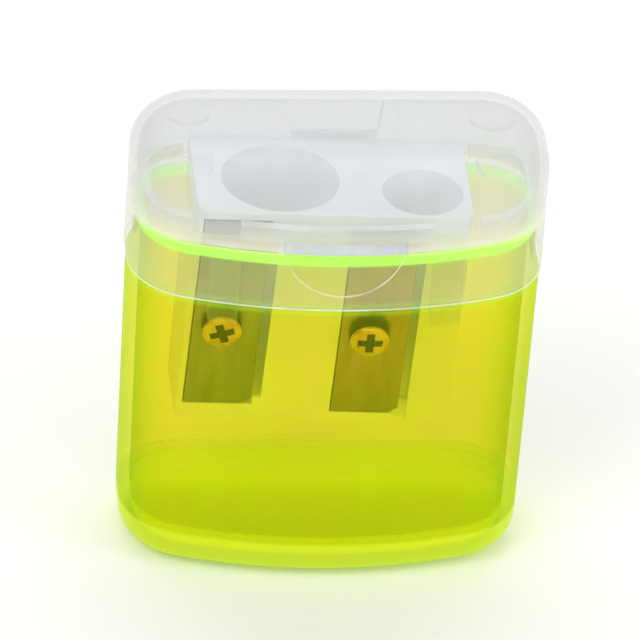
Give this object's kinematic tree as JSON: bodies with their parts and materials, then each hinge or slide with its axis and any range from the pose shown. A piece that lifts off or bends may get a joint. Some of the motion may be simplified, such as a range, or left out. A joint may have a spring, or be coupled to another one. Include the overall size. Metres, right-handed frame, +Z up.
{
  "type": "pencil sharpener",
  "caption": "Pencil sharpener with a see-through shavings bin, a hinged frosted lid and conical bores for thick and standard pencils.",
  "frame": {"origin": "middle of the bin's flat underside", "axes": "+Z up, towards the lid; the bowed front with the thumb ledge faces -Y and the hinge is on the flat back at +Y; +X is to the right when looking at the front"},
  "size_m": [0.042, 0.0195, 0.0493],
  "materials": {
    "bin_plastic": "clear fluorescent yellow-green, glossy, edges glowing green",
    "cap_plastic": "milky translucent, satin",
    "block_plastic": "opaque white, satin",
    "blade_steel": "ground tool steel",
    "screw_brass": "yellow-plated steel, satin"
  },
  "bodies": {
    "bin": {"bin": "bin_plastic"},
    "cap": {"cap_collar": "cap_plastic", "hinge_strap": "cap_plastic", "sharpener_block": "block_plastic", "blade_large": "blade_steel", "blade_small": "blade_steel", "screw_large": "screw_brass", "screw_small": "screw_brass"},
    "lid": {"lid": "cap_plastic"}
  },
  "joints": [
    {"name": "cap_pull", "type": "slide", "parent": "bin", "child": "cap", "axis": [0, 0, 1], "range_m": [0, 0.045]},
    {"name": "lid_hinge", "type": "hinge", "parent": "cap", "child": "lid", "pos_m": [0, 0.00965, 0.0401], "axis": [-1, 0, 0], "range_deg": [0, 170], "deforming": ["hinge_strap"]}
  ]
}
